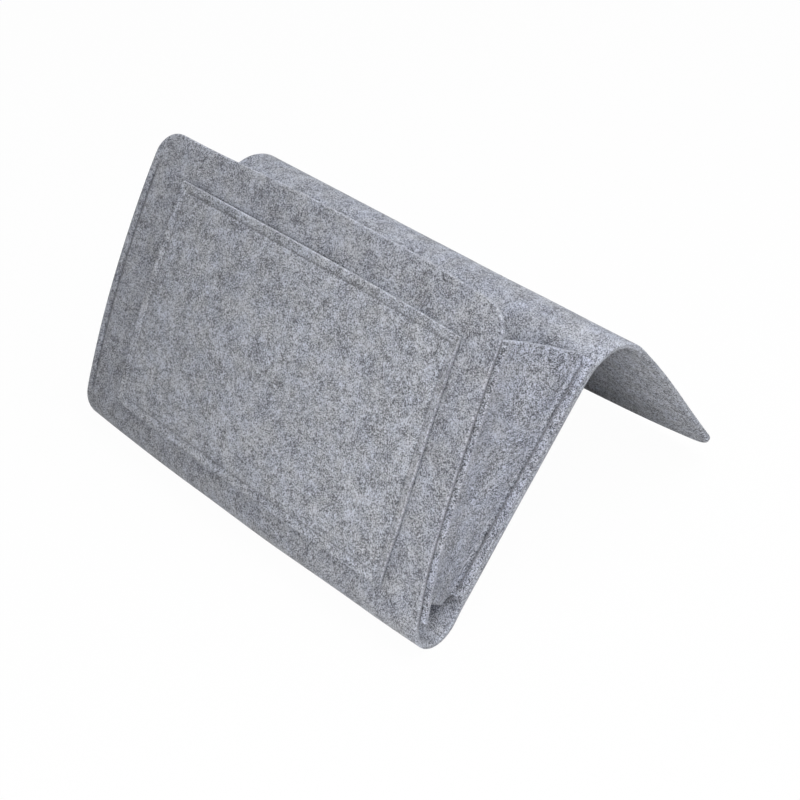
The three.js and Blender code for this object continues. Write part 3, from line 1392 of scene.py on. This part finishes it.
@dataclass
class Gusset:
    """A gusset: a web between the panels, whose sides turn out into flanges sewn to both panels.

    FOLD_SHARES are the heights, as shares, of the web's rear and front sides where its fold would start
    and end as the main pocket closes; nothing here folds it. They are larger on the left, where the back
    panel is flared.
    """

    path: StripPath
    side: Side
    thickness: float = 0.003
    web_inset: float = 0.0105
    bend: float = 0.003
    bend_steps: int = 5
    drop: float = 0.020
    rear_drop: float = 0.003
    front_web_foot: float = 0.007
    rear_web_foot: float = 0.0045
    front_foot: float = 0.0003
    rear_foot: float = 0.013
    seat_gap: float = 0.0003
    flare: float = 0.0008
    overhang: float = 0.0024
    softness: float = 0.0005
    seam_inset: float = 0.006
    seam_end: float = 0.004
    bow: float = 0.003
    bow_rise: float = 1.6
    nominal_web: float = 0.060
    nominal_length: float = 0.168
    fold_lean: float = math.radians(33.5)

    FOLD_SHARES = {Side.LEFT: (0.92, 0.75), Side.RIGHT: (0.52, 0.43)}

    @property
    def name(self) -> str:
        """The gusset's side, as a word."""
        return self.side.name.lower()

    @property
    def flat_flange(self) -> float:
        """The flat stretch of a flange, from the raw edge to the bend."""
        return self.web_inset - self.bend

    @property
    def bend_length(self) -> float:
        """The felt in one bend."""
        return self.bend * math.pi / 2

    @property
    def turned_in(self) -> float:
        """The felt of one flange and its bend."""
        return self.flat_flange + self.bend_length

    @property
    def girth(self) -> float:
        """The sheet's flat measure across, from raw edge to raw edge."""
        return 2 * self.turned_in + self.nominal_web

    @property
    def seat(self) -> float:
        """The lift of the flange's middle layer on the strip."""
        return -(self.path.half + self.seat_gap + self.thickness / 2)

    def _station(self, front: bool, share: float, flange: float) -> float:
        """Where a row of the gusset meets a panel, along the strip.

        Args:
            front: True for the front panel, False for the back panel.
            share: the row's place, from 0 at the foot to 1 at the top.
            flange: 1 on the flange, 0 on the web.

        Returns:
            The place along the strip.
        """
        if front:
            foot = mix(self.front_web_foot, self.front_foot, flange)
            return -mix(foot, self.path.front_length - self.drop, share)
        foot = mix(self.rear_web_foot, self.rear_foot, flange)
        top = self.path.back_length + self.path.held_bend - self.rear_drop
        return self.path.back_start + mix(foot, top, share)

    def _turned(self, front: bool, q: float, share: float, lift: float) -> Vector:
        """A point of a flange or of its bend. A front flange stands a little off its panel.

        Args:
            front: True for the front flange, False for the rear flange.
            q: the flat measure from the raw edge.
            share: the row's place, from 0 at the foot to 1 at the top.
            lift: the distance from the felt's middle, towards the face that shows.

        Returns:
            The point in the part's frame.
        """
        turned = max(0.0, q - self.flat_flange)
        flange = 1.0 - ease(turned / self.bend_length)
        s = self._station(front, share, flange)
        sign = self.side.value
        if turned <= 0.0:
            loose = 1.0 - ease(q / self.flat_flange) if front else 0.0
            x = self.path.edge - q + self.overhang * loose
            return self.path.place(sign * x, s, self.seat - lift - self.flare * loose)
        inward = -self.path.normal(s, sign * self.path.edge)
        out = Vector((sign, 0.0, 0.0))
        angle = turned / self.bend
        foot = self.path.place(sign * (self.path.edge - self.flat_flange), s, self.seat)
        centre = foot + inward * self.bend
        return centre - (inward * math.cos(angle) + out * math.sin(angle)) * (self.bend - lift)

    def lay(self, q: float, along: float, lift: float) -> Vector:
        """A point of the gusset.

        Args:
            q: the flat measure across, from the front flange's raw edge to the rear flange's.
            along: the flat measure from the foot to the top.
            lift: the distance from the felt's middle, towards the face that shows.

        Returns:
            The point in the part's frame.
        """
        share = along / self.nominal_length
        if q <= self.turned_in:
            return self._turned(True, q, share, lift)
        if q >= self.girth - self.turned_in:
            return self._turned(False, self.girth - q, share, lift)
        t = (q - self.turned_in) / self.nominal_web
        a = self._turned(True, self.turned_in, share, lift)
        b = self._turned(False, self.turned_in, share, lift)
        sink = self.bow * math.sin(math.pi * t) ** 2 * ease(share * self.bow_rise)
        return a.lerp(b, t) - Vector((self.side.value * sink, 0.0, 0.0))

    def _seam(self, front: bool) -> Seam:
        """The row of stitches along one flange."""
        q = self.seam_inset if front else self.girth - self.seam_inset
        return Seam((q, self.seam_end), (q, self.nominal_length - self.seam_end), DEEP_GROOVE)

    def _width(self, share: float) -> float:
        """The felt across the gusset, flanges included.

        Args:
            share: the height, from 0 at the foot to 1 at the top.

        Returns:
            The width.
        """
        a = self._turned(True, self.turned_in, share, 0.0)
        b = self._turned(False, self.turned_in, share, 0.0)
        return (b - a).length + 2 * self.turned_in

    def _area(self) -> float:
        """The gusset's flat area, from its widths at the foot, halfway up and at the top."""
        foot, middle, top = (self._width(share) for share in (0.0, 0.5, 1.0))
        return (foot + 4 * middle + top) / 6 * self.nominal_length

    def build(self, wardrobe: Wardrobe) -> None:
        """Builds and dresses the gusset and its stitches.

        Args:
            wardrobe: the caddy's materials.
        """
        step = self.bend_length / self.bend_steps
        bends = [self.flat_flange + step * k for k in range(self.bend_steps + 1)]
        half = self.thickness / 2
        sheet = FeltSheet(
            f"{self.name}_gusset_felt", 0.0, self.girth, 0.0, self.nominal_length, -half, half, self.lay,
            softness=self.softness, outer_seams=(self._seam(True), self._seam(False)),
            extra_columns=(*bends, *(self.girth - bend for bend in bends)),
        )
        nodes = [f"{self.name}_gusset_{part}" for part in ("web", "front_flange", "rear_flange")]
        made = dress(sheet.build(), wardrobe.gusset, "felt", *nodes)
        flat = (self._width(1.0), self.nominal_length)
        self._area()
        self._follow(made)
        for front, kind in ((True, "front_seam_bobbin"), (False, "rear_seam_needle")):
            row = StitchRow(f"{self.name}_{kind}_stitches", sheet, (self._seam(front),), Face.OUTER)
            self._follow(dress(row.build(), wardrobe.thread, "thread", f"{self.name}_{kind}_thread"))

    def _follow(self, piece: bpy.types.Object) -> None:
        """Bakes a piece's transform into its mesh, after reading the web's points at FOLD_SHARES, which
        are not used.

        Args:
            piece: the gusset or a row of its stitches.
        """
        rear_share, front_share = self.FOLD_SHARES[self.side]
        rear = self._turned(False, self.turned_in, rear_share, 0.0)
        front = self._turned(True, self.turned_in, front_share, 0.0)
        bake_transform(piece)


@dataclass(frozen=True)
class Lamp:
    """A square soft lamp: where it hangs, what it faces, the length of its side, its watts and colour."""

    name: str
    place: Place
    aim: Place
    size: float
    power: float
    colour: Colour = (1.0, 1.0, 1.0)

    def hang(self) -> None:
        """Puts the lamp in the scene."""
        data = bpy.data.lights.new(self.name, "AREA")
        data.shape = "SQUARE"
        data.size = self.size
        data.energy = self.power
        data.color = self.colour
        made = bpy.data.objects.new(self.name, data)
        made.location = self.place
        made.rotation_mode = "QUATERNION"
        made.rotation_quaternion = (Vector(self.aim) - Vector(self.place)).to_track_quat("-Z", "Y")
        bpy.context.scene.collection.objects.link(made)


@dataclass(frozen=True)
class Studio:
    """The camera, the floor and the light."""

    eye: Place = (0.70698, -0.62797, 0.67485)
    yaw: float = 0.8436
    pitch: float = 0.5971
    roll: float = -0.0193
    focal_pixels: float = 1754.5
    frame_pixels: float = 800.0
    sensor: float = 36.0
    near: float = 0.05
    far: float = 50.0
    floor_size: float = 20.0
    floor_colour: Colour = (0.72, 0.72, 0.72)
    floor_white: float = 0.975
    sky: float = 0.10
    sky_colour: Colour = (1.0, 1.0, 1.0)
    lamps: tuple[Lamp, ...] = (
        Lamp("top", (0.1, 0.30, 1.3), (0.0, 0.0, 0.1), 1.0, 13.2, (0.985, 0.997, 1.03)),
        Lamp("over", (0.62, 0.12, 0.85), (0.1, 0.0, 0.1), 0.6, 4.0),
        Lamp("near", (0.38, -0.52, 0.30), (0.06, -0.08, 0.08), 0.3, 1.32, (1.015, 1.0, 0.975)),
        Lamp("side", (0.55, -0.85, 0.38), (0.1, 0.0, 0.08), 0.4, 0.88),
    )

    def camera(self) -> None:
        """Sets the camera up where the photographer stood."""
        data = bpy.data.cameras.new("camera")
        data.sensor_width = self.sensor
        data.lens = self.focal_pixels * self.sensor / self.frame_pixels
        data.clip_start = self.near
        data.clip_end = self.far
        made = bpy.data.objects.new("camera", data)
        level = math.cos(self.pitch)
        forward = Vector((-math.sin(self.yaw) * level, math.cos(self.yaw) * level, -math.sin(self.pitch)))
        right = Vector((math.cos(self.yaw), math.sin(self.yaw), 0.0))
        up = right.cross(forward)
        tilted = right * math.cos(self.roll) + up * math.sin(self.roll)
        upright = up * math.cos(self.roll) - right * math.sin(self.roll)
        turn = Matrix((tilted, upright, -forward)).transposed().to_4x4()
        made.matrix_world = Matrix.Translation(self.eye) @ turn
        bpy.context.scene.collection.objects.link(made)
        bpy.context.scene.camera = made

    def _shown(self, tree: bpy.types.NodeTree) -> bpy.types.NodeSocket:
        """A mask of the rays that show the background: from the camera, and through gloss or glass.

        Args:
            tree: the node tree that gets the mask.

        Returns:
            The mask.
        """
        rays = add_node(tree, "ShaderNodeLightPath")
        total = rays.outputs["Is Camera Ray"]
        for name in ("Is Glossy Ray", "Is Transmission Ray"):
            most = add_node(tree, "ShaderNodeMath", operation="MAXIMUM")
            join(tree, total, most.inputs[0])
            join(tree, rays.outputs[name], most.inputs[1])
            total = most.outputs["Value"]
        return total

    def floor(self) -> None:
        """Lays a plain pale floor that keeps a soft shadow."""
        bm = bmesh.new()
        bmesh.ops.create_grid(bm, x_segments=1, y_segments=1, size=self.floor_size)
        made = finished(bm, "floor")
        paint = bpy.data.materials.new("pale_floor")
        paint.use_nodes = True
        tree = paint.node_tree
        tree.nodes.remove(tree.nodes["Principled BSDF"])
        matt = add_node(tree, "ShaderNodeBsdfDiffuse")
        matt.inputs["Color"].default_value = (*self.floor_colour, 1.0)
        glow = add_node(tree, "ShaderNodeEmission")
        both = add_node(tree, "ShaderNodeMixShader")
        share = add_node(tree, "ShaderNodeMath", operation="MULTIPLY")
        share.inputs[1].default_value = self.floor_white
        join(tree, self._shown(tree), share.inputs[0])
        join(tree, share.outputs["Value"], both.inputs[0])
        join(tree, matt.outputs["BSDF"], both.inputs[1])
        join(tree, glow.outputs["Emission"], both.inputs[2])
        join(tree, both.outputs["Shader"], tree.nodes["Material Output"].inputs["Surface"])
        made.data.materials.append(paint)

    def world(self) -> None:
        """Fills the scene with soft light, white to the camera."""
        world = bpy.data.worlds.new("studio")
        bpy.context.scene.world = world
        world.use_nodes = True
        tree = world.node_tree
        light = tree.nodes["Background"]
        level = add_node(tree, "ShaderNodeMapRange")
        level.inputs["To Min"].default_value = self.sky
        level.inputs["To Max"].default_value = 1.0
        join(tree, self._shown(tree), level.inputs["Value"])
        light.inputs["Color"].default_value = (*self.sky_colour, 1.0)
        join(tree, level.outputs["Result"], light.inputs["Strength"])

    def build(self) -> None:
        """Sets up the whole studio."""
        bpy.context.scene.view_settings.view_transform = "Standard"
        self.camera()
        self.floor()
        self.world()
        for lamp in self.lamps:
            lamp.hang()


def main() -> None:
    """Builds the studio and the caddy, piece by piece."""
    logging.basicConfig(level=logging.INFO, format="%(name)s: %(message)s")
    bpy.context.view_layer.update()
    Studio().build()
    wardrobe = Wardrobe.stocked()
    path = StripPath()
    pocket = PatchPocket(path)
    strip = LongStrip(path, pocket)
    front, rear = strip.build(wardrobe)
    strip.sew(front, rear, wardrobe)
    pocket.build(wardrobe)
    pocket.sew_through(front, wardrobe)
    for side in Side:
        Gusset(path, side).build(wardrobe)


if __name__ == "__main__":
    main()
